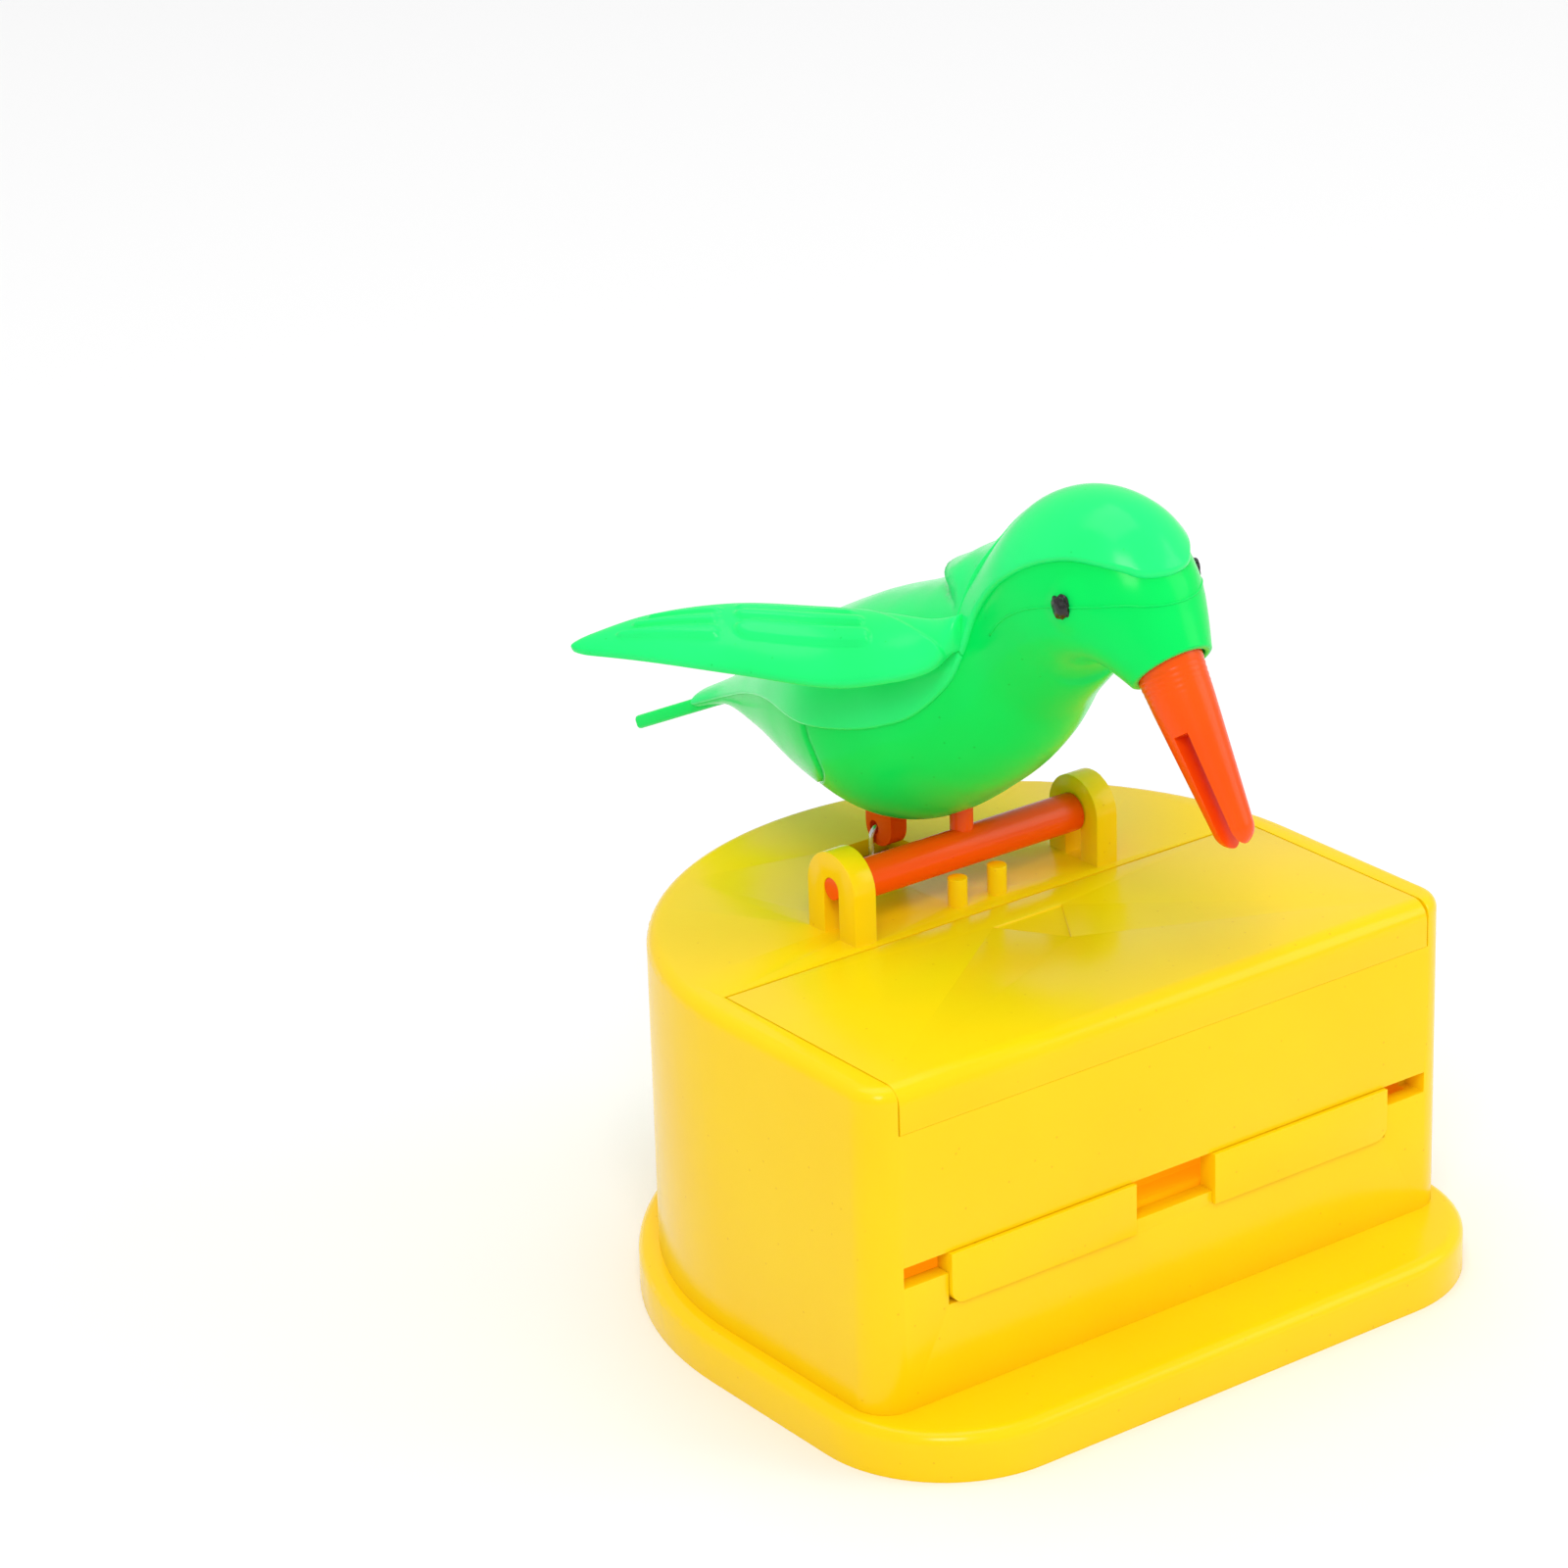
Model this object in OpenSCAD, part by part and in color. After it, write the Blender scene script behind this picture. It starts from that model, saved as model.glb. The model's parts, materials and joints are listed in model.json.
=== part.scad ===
// Toothpick dispenser with a bowing bird.
// A D-shaped box holds the picks, a lid slides off its front half, and a bird on a perch bar
// bows until its split beak reaches the tray at the front. A tension spring stands it up again.
// Millimetres, +Z up, the bird faces -Y. The origin is the middle of the underside of the base.

/* [Box] */
// Width of the box across its straight sides
box_w = 80; // [76:1:84]
// Height of the deck above the table
deck_z = 42.5; // [41:0.5:44]
// Distance from the origin to the front wall
front_y = -29.35; // [-31:0.05:-28]
// Thickness of the outer walls and of the deck
wall = 2; // [1.6:0.1:2.4]
// Rounding of the top edge
edge_r = 1.6; // [0.8:0.1:2]
// Radius of the two upright corners at the front
corner_r = 4; // [3:0.5:6]

/* [Base plate] */
// Height of the base plate
base_h = 5.5; // [4.5:0.5:6.5]
// How far the base plate stands out at the sides and the back
base_side = 2.3; // [1.5:0.1:3]
// How far the base plate stands out at the front
base_front = 10; // [6:0.5:12]
// Radius of its front corners
base_corner_r = 16; // [8:1:18]

/* [Lid] */
// Width of the lid
lid_w = 72.7; // [70:0.1:73]
// Length of the lid from the front wall to its back edge
lid_len = 29.5; // [28:0.1:30]
// Thickness of the lid plate
lid_t = 2; // [1.6:0.1:2.4]
// Height of the lip that hangs down at the front
lip_h = 5; // [4:0.5:6]

/* [Tray] */
// Half width of the gap in the middle where the beak reaches in
beak_gap = 5.5; // [5:0.1:6.5]
// Underside of the upper front wall
window_top = 22.2; // [22:0.1:23]
// Top of the tray floor
tray_floor_z = 17.4; // [17:0.1:18]

/* [Perch] */
// Distance of the perch axis behind the origin
perch_y = 5.6; // [5:0.1:6]
// Height of the perch axis
perch_z = 48; // [47.5:0.1:48.5]
// Radius of the perch bar
bar_r = 2.2; // [1.8:0.1:2.3]
// Radius of the pins at its two ends
pin_r = 1.25; // [1:0.05:1.3]

/* [Beak] */
// Length of the beak outside the snout
beak_len = 17.4; // [16:0.1:19]
// Radius of the beak where it enters the snout
beak_root_r = 3.7; // [3.4:0.1:3.8]
// Radius of the beak near the tip
beak_tip_r = 2.2; // [1.8:0.1:2.4]

/* [Spring] */
// Outer radius of the coil
coil_r = 2.2; // [1.8:0.1:2.4]
// Radius of the wire
wire_r = 0.3; // [0.25:0.05:0.35]
// Number of turns
turns = 22; // [12:1:26]

/* [Hidden] */
$fn = 64;
eps = 0.01;

// One clearance round every loose piece, and a finer one between glued pieces.
gap = 0.2;
seam = 0.03;

half_w = box_w / 2;
box_mid_y = -2.95;
lid_back_y = front_y + lid_len;
seat_w = lid_w + 2 * gap;
store_w = seat_w - 2.6;
rear_wall_y = lid_back_y + 0.3;
store_back_y = rear_wall_y - 1.6;

// Tabs at the back of the lid, seen from the middle outward, and how low they reach.
tab_x0 = 30.3;
tab_x1 = 34.6;
tab_out = 5;
tab_low = 3.4;

// Toothpick tray behind the front wall.
panel_out = 0.5;
panel_end_x = 30.4;
panel_bottom_z = 16.2;
panel_top_z = 22.08;
window_end_x = 36.3;
window_bottom_z = 19.8;
tray_t = 1.2;
trough_back_y = -23.2;
ramp_top_z = 31;

// Ears that carry the perch.
ear_in_x = 15.4;
ear_t = 2.9;
ear_r = 4.2;

// Stops that stand under the perch bar.
stub_x = 2.75;
stub_y = 3.4;
stub_r = 1.1;
stub_h = 3.3;

// Square hole in the deck for the spring.
hole_half = 4;
spring_y = 20.4;
hook_z = 45.85;
anchor_z = 10.5;

// Post of the perch lever, its strip inside the belly and its lug for the spring.
post_y = 6;
post_r = 1.3;
strip_z = 52.95;
strip_t = 1.9;
lug_y = 19.6;
lug_z = 46.2;
lug_r = 2.3;
lug_t = 2.2;

// The beak's root and the way it points.
beak_y = -29;
beak_z = 78.8;
beak_lean = 34;
slit_w = 1.6;
slit_turn = 22;

eye_x = 7.55;
eye_y = -22.1;
eye_z = 85.8;
eye_r = 1.15;

yellow = "gold";
orange = "orangered";
green = "springgreen";

// ---------- box ----------

// A solid with a half-round back, straight sides and rounded front corners.
// r is the half width, y0 the front face, cr the corner radius, er the top edge rounding.
module d_block(r, y0, cr, z0, z1, er) {
  zr = z1 - er;
  translate([0, 0, z0]) linear_extrude(zr - z0) d_outline(r, y0, cr);
  translate([0, 0, zr - eps]) linear_extrude(er + eps) d_outline(r - er, y0 + er, cr - er);
  translate([0, box_mid_y, zr]) rotate_extrude(angle = 180) translate([r - er, 0]) circle(er);
  translate([-r + cr, y0 + er, zr]) rotate([0, 90, 0]) cylinder(r = er, h = 2 * (r - cr));
  for (s = [-1, 1]) {
    translate([s * (r - er), y0 + cr, zr]) rotate([-90, 0, 0]) cylinder(r = er, h = box_mid_y - y0 - cr);
    translate([s * (r - cr), y0 + cr, zr]) rotate([0, 0, s > 0 ? -90 : 180])
      rotate_extrude(angle = 90) translate([cr - er, 0]) circle(er);
  }
}

module d_outline(r, y0, cr) {
  translate([0, box_mid_y]) intersection() {
    circle(r, $fn = 128);
    translate([-r, -eps]) square([2 * r, r + 1]);
  }
  translate([-r, y0 + cr]) square([2 * r, box_mid_y - y0 - cr]);
  translate([-r + cr, y0]) square([2 * (r - cr), cr + eps]);
  for (s = [-1, 1]) translate([s * (r - cr), y0 + cr]) circle(cr);
}

// A box from its low corner to its high corner.
module block(lo, hi) {
  translate(lo) cube(hi - lo);
}

// A side view outline, drawn as [y, z] points, made w wide about the middle plane.
module side_plate(points, w) {
  translate([-w / 2, 0, 0]) rotate([90, 0, 90]) linear_extrude(w) polygon(points);
}

module base_plate() {
  rim_h = 2;
  rim_t = 1.2;
  color(yellow) {
    d_block(half_w + base_side, front_y - base_front, base_corner_r, 0, base_h, 1.5);
    // Locating rim inside the walls.
    difference() {
      translate([0, 0, base_h - eps]) linear_extrude(rim_h)
        d_outline(half_w - wall - 0.1, front_y + wall + 0.1, 2.5);
      translate([0, 0, base_h - 1]) linear_extrude(rim_h + 2)
        d_outline(half_w - wall - 0.1 - rim_t, front_y + wall + 0.1 + rim_t, 1.5);
      for (s = [-1, 1]) mirror([s < 0 ? 1 : 0, 0, 0])
        block([store_w / 2 - 0.3, front_y, base_h], [half_w, rear_wall_y + gap, base_h + rim_h + 1]);
    }
    spring_anchor();
  }
}

// Two ribs and a peg that hold the lower end of the spring.
module spring_anchor() {
  rib_w = 5;
  rib_t = 1.4;
  rib_gap = 6;
  for (s = [-1, 1]) translate([-rib_w / 2, spring_y + s * rib_gap / 2 - rib_t / 2, base_h - eps])
    cube([rib_w, rib_t, anchor_z + 2 - base_h]);
  translate([0, spring_y - rib_gap / 2, anchor_z]) rotate([-90, 0, 0]) cylinder(r = 0.9, h = rib_gap);
}

module box_shell() {
  color(yellow) {
    difference() {
      d_block(half_w, front_y, corner_r, base_h, deck_z, edge_r);
      rear_room();
      pick_store();
      lid_seat();
      front_windows();
      block([-hole_half, spring_y - 4.4, deck_z - 4], [hole_half, spring_y + 4.1, deck_z + 1]);
    }
    for (s = [-1, 1]) {
      ear(s);
      corner_loop(s);
      // Stops under the perch bar.
      translate([s * stub_x, stub_y, deck_z - eps]) cylinder(r = stub_r, h = stub_h);
    }
  }
}

// Room for the spring under the deck.
module rear_room() {
  translate([0, 0, base_h - 1]) intersection() {
    linear_extrude(deck_z - wall - base_h + 1) d_outline(half_w - wall, front_y, corner_r);
    block([-half_w, rear_wall_y, -1], [half_w, half_w + 10, deck_z]);
  }
}

// Room for the picks, open at the top and at the bottom.
module pick_store() {
  block([-store_w / 2, front_y + wall, base_h - 1], [store_w / 2, store_back_y, deck_z + 1]);
}

// Rebate round the lid, notches for its two back tabs and the step for its front lip.
module lid_seat() {
  lip_z = deck_z - lip_h - gap;
  block([-seat_w / 2, front_y - 1, deck_z - lid_t - gap], [seat_w / 2, rear_wall_y, deck_z + 1]);
  block([-seat_w / 2, front_y - 1, lip_z], [seat_w / 2, front_y + wall + gap, deck_z + 1]);
  for (s = [-1, 1]) mirror([s < 0 ? 1 : 0, 0, 0])
    block([tab_x0 - 0.5, store_back_y - 1, deck_z - 4], [tab_x1 + 0.5, rear_wall_y + 1, deck_z - lid_t]);
}

module front_windows() {
  y0 = front_y - 1;
  y1 = front_y + wall + 1;
  block([-window_end_x, y0, window_bottom_z], [window_end_x, y1, window_top]);
  block([-beak_gap, y0, tray_floor_z + gap], [beak_gap, y1, window_top]);
  for (s = [-1, 1]) mirror([s < 0 ? 1 : 0, 0, 0])
    block([beak_gap - eps, y0, panel_bottom_z - 0.1], [panel_end_x + 0.1, y1, window_top]);
}

// An arch with a slot that the perch pin snaps into from below.
module ear(s) {
  x0 = s > 0 ? ear_in_x : -ear_in_x - ear_t;
  slot_r = pin_r + 0.05;
  difference() {
    union() {
      translate([x0, perch_y, perch_z]) rotate([0, 90, 0]) cylinder(r = ear_r, h = ear_t);
      block([x0, perch_y - ear_r, deck_z - eps], [x0 + ear_t, perch_y + ear_r, perch_z]);
    }
    translate([x0 - 1, perch_y, perch_z]) rotate([0, 90, 0]) cylinder(r = slot_r, h = ear_t + 2);
    block([x0 - 1, perch_y - slot_r, deck_z], [x0 + ear_t + 1, perch_y + slot_r, perch_z]);
  }
}

// A staple in each front corner that the lid rests on.
module corner_loop(s) {
  y0 = front_y + wall + gap + 0.1;
  top = deck_z - tab_low - gap;
  x1 = store_w / 2 + 0.5;
  staple_w = 9.6;
  staple_h = 5;
  bar = 1.3;
  mirror([s < 0 ? 1 : 0, 0, 0]) {
    block([x1 - staple_w, y0, top - 1.2], [x1, y0 + bar, top]);
    for (x = [x1 - staple_w, x1 - staple_w / 2]) {
      block([x, y0, top - staple_h], [x + bar, y0 + bar, top - 1]);
      block([x, front_y + wall - 0.1, top - staple_h], [x + bar, y0 + 1, top - staple_h / 2]);
    }
  }
}

// ---------- tray ----------

// Sloping floor under the picks, the trough they roll into and the two panels in front of it.
module hopper_tray() {
  y_in = front_y + wall + 0.15;
  ramp_back_y = store_back_y - 0.15;
  leg_x = 25;
  leg_t = 1.6;
  color(yellow) {
    side_plate([[y_in, tray_floor_z - tray_t], [trough_back_y, tray_floor_z - tray_t],
      [ramp_back_y, ramp_top_z - tray_t], [ramp_back_y, ramp_top_z],
      [trough_back_y, tray_floor_z], [y_in, tray_floor_z]], store_w - 0.4);
    // Legs that stand on the base plate.
    for (x = [-leg_x, leg_x]) translate([x, 0, 0])
      side_plate([[-22, base_h + 0.02], [-6, base_h + 0.02], [-6, 27], [-22, 17]], leg_t);
    for (s = [-1, 1]) mirror([s < 0 ? 1 : 0, 0, 0]) tray_panel(y_in);
  }
}

module tray_panel(y_in) {
  x0 = beak_gap;
  x1 = panel_end_x;
  depth = wall + panel_out;
  round_r = 1.6;
  translate([0, front_y + wall, 0]) rotate([90, 0, 0]) linear_extrude(depth) {
    translate([x0, panel_bottom_z + round_r]) square([x1 - x0, panel_top_z - panel_bottom_z - round_r]);
    translate([x0, panel_bottom_z]) square([x1 - x0 - round_r, 2]);
    translate([x1 - round_r, panel_bottom_z + round_r]) circle(round_r);
  }
  block([x0, front_y + 1, panel_bottom_z], [x1, y_in + 1, tray_floor_z]);
}

// ---------- lid ----------

module lid() {
  r = 2.2;
  x = lid_w / 2;
  lip_t = wall + 0.1;
  root_y = lid_back_y - 3;
  tab_z = deck_z - tab_low;
  arrow = [[-3.6, -3.8], [6, -3.8], [1.2, -11.2]];
  color(yellow) difference() {
    union() {
      block([-x, front_y + r, deck_z - lid_t], [x, lid_back_y, deck_z]);
      block([-x, front_y, deck_z - lip_h], [x, front_y + lip_t, deck_z - r]);
      intersection() {
        translate([-x, front_y + r, deck_z - r]) rotate([0, 90, 0]) cylinder(r = r, h = 2 * x);
        block([-x, front_y, deck_z - r - eps], [x, front_y + r + eps, deck_z]);
      }
      for (s = [-1, 1]) mirror([s < 0 ? 1 : 0, 0, 0]) {
        block([tab_x0, root_y, tab_z], [tab_x1, lid_back_y + tab_out, deck_z - lid_t - gap]);
        block([tab_x0, root_y, tab_z], [tab_x1, root_y + 1, deck_z - 1]);
      }
    }
    // Arrow that shows which way the lid goes.
    translate([0, 0, deck_z - 0.4]) linear_extrude(1) polygon(arrow);
  }
}

// ---------- perch and beak ----------

module perch_lever() {
  bar_half = ear_in_x - gap;
  pin_half = ear_in_x + ear_t - 0.1;
  color(orange) {
    difference() {
      translate([-bar_half, perch_y, perch_z]) rotate([0, 90, 0])
        cylinder(r = bar_r, h = 2 * bar_half);
      form(seam);
    }
    translate([-pin_half, perch_y, perch_z]) rotate([0, 90, 0])
      cylinder(r = pin_r, h = 2 * pin_half);
    // Post and strip inside the belly.
    translate([0, post_y, perch_z - 1]) cylinder(r = post_r, h = strip_z + strip_t - perch_z + 1);
    block([-1.6, post_y, strip_z], [1.6, lug_y + lug_r, strip_z + strip_t]);
    hook_lug();
  }
}

// Lug that hangs out of the belly, with the hole for the spring's loop.
module hook_lug() {
  difference() {
    union() {
      translate([-lug_t / 2, lug_y, lug_z]) rotate([0, 90, 0]) cylinder(r = lug_r, h = lug_t);
      block([-lug_t / 2, lug_y - lug_r, lug_z], [lug_t / 2, lug_y + lug_r, strip_z + 1]);
    }
    translate([-2, spring_y, hook_z]) rotate([0, 90, 0]) cylinder(r = 0.8, h = 4);
  }
}

// Puts a part drawn along +Z from the beak's root at the snout.
module at_snout() {
  translate([0, beak_y, beak_z]) rotate([180 - beak_lean, 0, 0]) children();
}

module beak() {
  slit_top = 0.4 * beak_len;
  color(orange) difference() {
    union() {
      at_snout() translate([0, 0, -4]) cylinder(r = beak_root_r, h = 4.01);
      at_snout() cylinder(r1 = beak_root_r, r2 = beak_tip_r, h = beak_len);
      at_snout() translate([0, 0, beak_len]) sphere(beak_tip_r);
    }
    // Slit that grips a pick.
    at_snout() rotate([0, 0, -slit_turn])
      block([-6, -slit_w / 2, slit_top], [6, slit_w / 2, beak_len + 4]);
  }
}

// ---------- bird ----------

// Cross sections from the snout to the tail:
// [y, z, lean in degrees, height above, height below, half width].
sections = [
  [-29.3, 79.0, -45, 4.3, 4.3, 4.7],
  [-26.2, 81.2, -50, 6.1, 5.3, 6.4],
  [-22.7, 82.7, -35, 9.3, 7.1, 8.0],
  [-18.7, 82.9, -15, 12.1, 8.5, 9.0],
  [-13.9, 81.7, 12, 11.5, 9.0, 9.4],
  [-7.8, 76.5, 30, 9.1, 8.8, 9.5],
  [-1.6, 71.5, 34, 10.2, 10.7, 11.2],
  [5.3, 67.9, 28, 10.5, 12.9, 13.4],
  [14.3, 63.7, 20, 10.9, 14.1, 14.6],
  [24.1, 60.9, 20, 8.7, 11.2, 12.0],
  [34.3, 57.9, 20, 5.2, 5.1, 8.1],
  [44.2, 55.0, 20, 1.9, 1.4, 4.4],
  [50.6, 52.4, 20, 1.0, 0.9, 3.8]
];
steps = 3;
sides = 40;

// Smooth curve through b and c with a and d as neighbours.
function blend(a, b, c, d, t) =
  0.5 * (2 * b + (c - a) * t + (2 * a - 5 * b + 4 * c - d) * t * t + (3 * b - a - 3 * c + d) * t * t * t);

function at(list, i) = list[max(0, min(len(list) - 1, i))];

function along(list, s) =
  let (i = min(len(list) - 2, floor(s)))
  blend(at(list, i - 1), at(list, i), at(list, i + 1), at(list, i + 2), s - i);

// Oval ring of one cross section, g bigger all round.
function oval(q, g) = [for (k = [0:sides - 1])
  let (a = 360 * k / sides, h = ((sin(a) > 0 ? q[3] : q[4]) + g) * sin(a))
  [(q[5] + g) * cos(a), q[0] + h * sin(q[2]), q[1] + h * cos(q[2])]];

// Closed skin over rings that all have n points.
module skin(rings, n) {
  last = len(rings) - 1;
  walls = [for (j = [0:last - 1]) for (k = [0:n - 1])
    let (a = j * n + k, b = j * n + (k + 1) % n)
    each [[a, b, b + n], [a, b + n, a + n]]];
  polyhedron([for (r = rings) each r], concat(walls,
    [[for (k = [n - 1:-1:0]) k]], [[for (k = [0:n - 1]) last * n + k]]));
}

// The bird's body from section s0 to section s1, g bigger all round.
module form(g, s0 = 0, s1 = len(sections) - 1) {
  n = (s1 - s0) * steps;
  skin([for (j = [0:n]) oval(along(sections, s0 + j / steps), g)], sides);
}

// Side view outlines of the pieces, as [y, z] points.
hood_rim = [[-40, 89], [-28.8, 89], [-26.5, 89.7], [-23.9, 90.1], [-21.1, 90],
  [-17.6, 88.9], [-14.3, 87.1], [-11.1, 84.5], [-8.6, 81.1], [-7.2, 76.8]];
hood_back = [[-6.5, 77.3], [-5.1, 80.3], [-4.7, 81.3], [-6.2, 84.1], [-8.3, 86.8], [-12, 92],
  [-14, 110]];
back_rim = [[-7.2, 76.8], [-5.2, 72.6], [-1.1, 68.4], [2.9, 66.3], [7.5, 64.8], [14.4, 63.5],
  [24.9, 62.4], [33.6, 59.7], [42.3, 56], [60, 48]];
tail_rim = [[14.4, 63.5], [13.6, 60.7], [13.4, 57.8], [15.5, 55.6], [20, 53.4], [24, 51], [28, 44]];

function reversed(list) = [for (i = [len(list) - 1:-1:0]) list[i]];
function part(list, first, last) = [for (i = [first:last]) list[i]];

hood_outline = concat(hood_rim, hood_back, [[-40, 110]]);
back_outline = concat(back_rim, [[60, 110]], reversed(hood_back));
tail_outline = concat(reversed(tail_rim), part(back_rim, 6, 9), [[60, 30], [28, 30]]);
belly_outline = concat(hood_rim, part(back_rim, 1, 4), tail_rim, [[28, 30], [-40, 30]]);

// The slice of space inside a side view outline.
module slice(outline, grow = -seam) {
  translate([-30, 0, 0]) rotate([90, 0, 90]) linear_extrude(60) offset(delta = grow) polygon(outline);
}

shell_t = 1.5;
layer = 0.5;

module bird_shell() {
  color(green) difference() {
    intersection() {
      form(0);
      slice(belly_outline);
    }
    form(-shell_t, 1, 10);
    at_snout() translate([0, 0, -4.2]) cylinder(r = beak_root_r + 0.02, h = 6);
    // Openings for the perch lever's post and lug.
    translate([0, post_y, perch_z - 3]) cylinder(r = post_r + seam, h = 9);
    block([-1.6 - seam, post_y - seam, strip_z - seam], [1.6 + seam, lug_y, strip_z + strip_t + seam]);
    translate([-lug_t / 2 - seam, lug_y - lug_r - seam, perch_z])
      cube([lug_t + 2 * seam, 2 * (lug_r + seam), 8]);
    for (s = [-1, 1]) translate([s * (eye_x - 0.5), eye_y, eye_z]) rotate([0, s * 90, 0])
      cylinder(r = eye_r + 0.02, h = 4);
  }
}

module hood() {
  color(green) difference() {
    intersection() {
      form(layer);
      slice(hood_outline);
    }
    form(-1, 1, 10);
  }
}

module back_wings() {
  color(green) {
    difference() {
      intersection() {
        form(layer);
        slice(back_outline);
      }
      form(-1, 1, 10);
      tail_fork(seam);
    }
    difference() {
      union() {
        wing();
        mirror([1, 0, 0]) wing();
      }
      form(0);
      slice(hood_outline, seam);
    }
  }
}

// Wing blade from shoulder to tip: [outer edge, inner edge, thickness].
wing_sections = [
  [[8.4, -7, 76.8], [7.2, -5.4, 80.4], 1.8],
  [[10.8, -6.6, 76.7], [9.6, -5.9, 80.5], 1.6],
  [[13.4, -6.1, 75.3], [9.9, -2, 79], 1.6],
  [[16.5, -3.4, 74.1], [11.2, 3.9, 78.3], 1.6],
  [[19.8, 2.9, 72.5], [13.8, 12.2, 77.2], 1.6],
  [[25.3, 12.2, 72.7], [19.8, 19.7, 76.9], 1.5],
  [[30.3, 22.1, 72.6], [26.6, 26.3, 75.3], 1.2],
  [[34, 29.9, 72.1], [33.3, 31.1, 72.5], 0.6]
];
blade_n = 16;
camber = 0.15;
wing_run = [23, 36, -6];

function unit(v) = v / norm(v);

// Lens shaped ring between the two edges, bowed upward.
function blade(q) =
  let (mid = (q[0] + q[1]) / 2, half = (q[0] - q[1]) / 2, up = unit(cross(half, wing_run)))
  [for (k = [0:blade_n - 1])
    let (a = 360 * k / blade_n, c = cos(a), bow = camber * norm(half) * (1 - c * c))
    mid + half * c + up * (q[2] / 2 * sin(a) + bow)];

module wing() {
  n = (len(wing_sections) - 1) * steps;
  skin([for (j = [0:n]) blade(along(wing_sections, j / steps))], blade_n);
}

module tail() {
  color(green) {
    difference() {
      intersection() {
        form(0.2);
        slice(tail_outline);
      }
      form(-shell_t, 1, 10);
    }
    tail_fork();
  }
}

// Flat blade with a notched end, grow bigger all round.
module tail_fork(grow = 0) {
  t = 1.6;
  outline = [[-3, -3], [3, -3], [4.6, 17.4], [2.6, 18.2], [0, 12.2], [-2.6, 18.2], [-4.6, 17.4]];
  translate([0, 46, 54.4]) rotate([-25.7, 0, 0]) translate([0, 0, -t / 2 - grow])
    linear_extrude(t + 2 * grow) offset(delta = grow) polygon(outline);
}

// A bead pressed into the side of the head.
module eye(s) {
  color("black") translate([s * eye_x, eye_y, eye_z]) rotate([0, s * 90, 0]) {
    cylinder(r = eye_r, h = 1.1);
    translate([0, 0, 0.7]) sphere(eye_r);
  }
}

module eye_left() {
  eye(-1);
}

module eye_right() {
  eye(1);
}

// ---------- spring ----------

wire_n = 6;
coil_lo = 15;
coil_hi = 37;
loop_r = 1.5;

// The wire's path: lower loop, coil, upper loop.
function coil_path() = concat(
  [for (a = [90:-30:-90]) [loop_r * sin(a), 0, anchor_z - 0.3 - loop_r * cos(a) * 0.8]],
  [for (i = [0:turns * 10]) coil_point(36 * i, i / (turns * 10))],
  [for (a = [-90:30:90]) [loop_r * sin(a), 0, hook_z + 0.2 - loop_r + loop_r * cos(a)]]);

function coil_point(a, t) =
  let (r = coil_r - wire_r)
  [-r * cos(a), r * sin(a), coil_lo + (coil_hi - coil_lo) * t];

module return_spring() {
  path = coil_path();
  last = len(path) - 1;
  color("silver") translate([0, spring_y, 0]) skin([for (i = [0:last])
    let (t = unit(path[min(last, i + 1)] - path[max(0, i - 1)]),
      side = unit(cross(t, abs(t[1]) > 0.9 ? [1, 0, 0] : [0, 1, 0])),
      up = cross(side, t))
    [for (k = [0:wire_n - 1]) path[i] + wire_r * (side * cos(60 * k) + up * sin(60 * k))]], wire_n);
}

base_plate();
box_shell();
hopper_tray();
lid();
perch_lever();
bird_shell();
hood();
back_wings();
tail();
beak();
eye_left();
eye_right();
return_spring();
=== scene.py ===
import json
import math

import bmesh
import bpy
import numpy as np
from mathutils import Matrix, Vector, noise


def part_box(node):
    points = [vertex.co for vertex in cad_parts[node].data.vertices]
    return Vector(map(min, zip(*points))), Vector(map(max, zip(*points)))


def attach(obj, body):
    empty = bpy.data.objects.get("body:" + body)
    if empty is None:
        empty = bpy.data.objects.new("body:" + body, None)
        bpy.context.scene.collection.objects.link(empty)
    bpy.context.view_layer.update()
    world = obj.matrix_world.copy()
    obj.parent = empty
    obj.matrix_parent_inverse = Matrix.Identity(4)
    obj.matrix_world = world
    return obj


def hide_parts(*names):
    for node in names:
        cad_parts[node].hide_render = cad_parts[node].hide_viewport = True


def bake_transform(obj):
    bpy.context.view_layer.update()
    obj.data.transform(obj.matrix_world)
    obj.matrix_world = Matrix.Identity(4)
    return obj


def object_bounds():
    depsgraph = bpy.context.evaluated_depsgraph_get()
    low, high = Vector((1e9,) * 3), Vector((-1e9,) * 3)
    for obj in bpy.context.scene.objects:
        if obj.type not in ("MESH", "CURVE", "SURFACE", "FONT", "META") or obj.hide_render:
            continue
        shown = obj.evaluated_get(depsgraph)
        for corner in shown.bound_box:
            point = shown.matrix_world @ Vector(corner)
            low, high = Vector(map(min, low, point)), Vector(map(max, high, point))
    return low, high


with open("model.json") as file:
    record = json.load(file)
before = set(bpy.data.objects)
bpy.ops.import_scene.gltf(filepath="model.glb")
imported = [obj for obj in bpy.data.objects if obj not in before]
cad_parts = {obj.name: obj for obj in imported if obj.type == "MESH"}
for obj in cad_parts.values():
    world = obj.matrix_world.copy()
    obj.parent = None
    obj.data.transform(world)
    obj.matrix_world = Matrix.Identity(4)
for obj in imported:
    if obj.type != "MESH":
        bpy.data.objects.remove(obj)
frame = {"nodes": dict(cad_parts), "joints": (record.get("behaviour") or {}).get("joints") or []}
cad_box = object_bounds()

# Lengths below are in millimetres unless a name says otherwise; MM turns them into metres.
MM = 0.001

# ---------- where things are, from the frame ----------

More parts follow.
